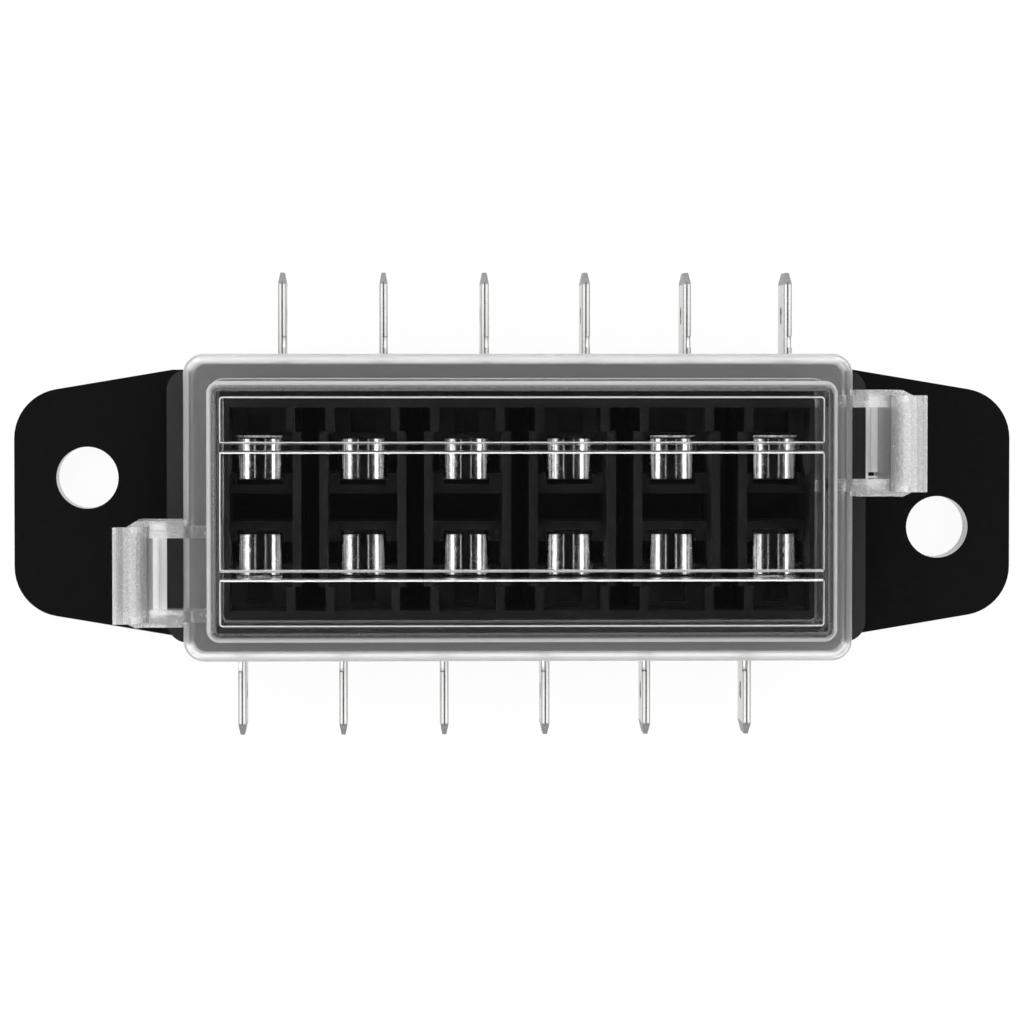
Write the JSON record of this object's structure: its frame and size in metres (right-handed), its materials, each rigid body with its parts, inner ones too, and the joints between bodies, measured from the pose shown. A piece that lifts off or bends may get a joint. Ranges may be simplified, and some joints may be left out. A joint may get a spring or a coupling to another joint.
{
  "type": "blade fuse block",
  "caption": "Low black fuse block with a row of blade fuse seats, push-on tabs along both sides, two mounting ears and a clear latched cover.",
  "frame": {"origin": "middle of the mounting plane, under the centre of the block", "axes": "+X along the row of fuses, towards the ear whose hole is nearer -Y; +Y across the block, towards the upper row of tabs; +Z away from the panel"},
  "size_m": [0.0998, 0.0458, 0.034],
  "materials": {
    "black_plastic": "fine matt moulded surface",
    "clear_plastic": "clear glossy moulding, slightly milky in its thick edges",
    "tinned_brass": "bright tin over brass sheet, fine rolling lines"
  },
  "bodies": {
    "base": {"base": "black_plastic", "terminal_upper_1": "tinned_brass", "terminal_upper_2": "tinned_brass", "terminal_upper_3": "tinned_brass", "terminal_upper_4": "tinned_brass", "terminal_upper_5": "tinned_brass", "terminal_upper_6": "tinned_brass", "terminal_lower_1": "tinned_brass", "terminal_lower_2": "tinned_brass", "terminal_lower_3": "tinned_brass", "terminal_lower_4": "tinned_brass", "terminal_lower_5": "tinned_brass", "terminal_lower_6": "tinned_brass"},
    "cover": {"cover": "clear_plastic"}
  },
  "joints": [
    {"name": "cover_lift", "type": "slide", "parent": "base", "child": "cover", "axis": [0, 0, 1], "range_m": [0, 0.03]}
  ]
}
